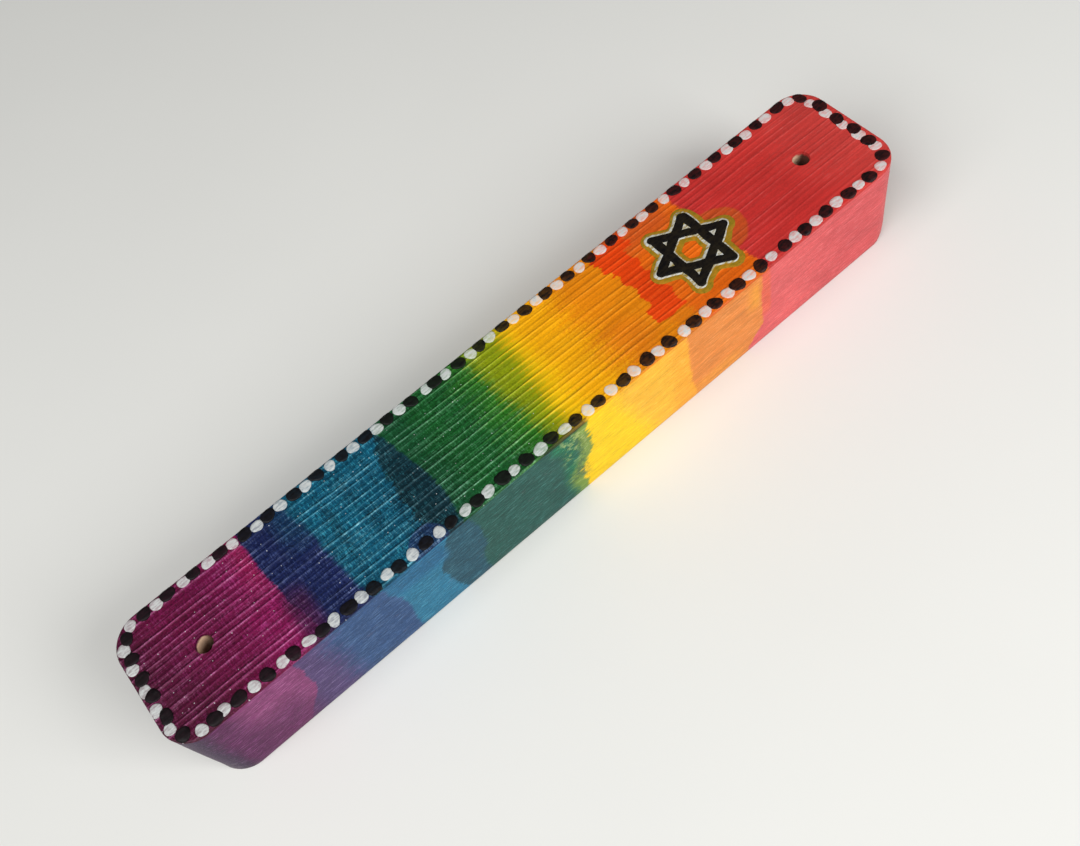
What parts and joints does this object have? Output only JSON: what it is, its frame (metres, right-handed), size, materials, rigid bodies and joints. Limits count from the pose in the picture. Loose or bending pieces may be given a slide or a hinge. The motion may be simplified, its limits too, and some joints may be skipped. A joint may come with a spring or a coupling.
{
  "type": "mezuzah case",
  "caption": "Hand-painted wooden mezuzah case: a round-cornered block with a routed scroll pocket, a sliding dovetail back and a rolled blank parchment in a clear sleeve.",
  "frame": {"origin": "centre of the case's back face, on the surface that it rests on", "axes": "+X to the right as seen from the front, +Y along the case to its top end, +Z out of the painted face"},
  "size_m": [0.0244, 0.15, 0.02],
  "materials": {
    "painted_wood": "hand-brushed acrylic rainbow bands over brushed-out grain, satin varnish",
    "bare_wood": "sanded, bare",
    "parchment": "scraped skin, matt",
    "clear_film": "clear, glossy"
  },
  "bodies": {
    "case": {"case_body": "painted_wood", "scroll": "parchment", "scroll_sleeve": "clear_film"},
    "cover": {"back_cover": "bare_wood"}
  },
  "joints": [
    {"name": "cover_slide", "type": "slide", "parent": "case", "child": "cover", "axis": [0, 1, 0], "range_m": [0, 0.134]}
  ]
}
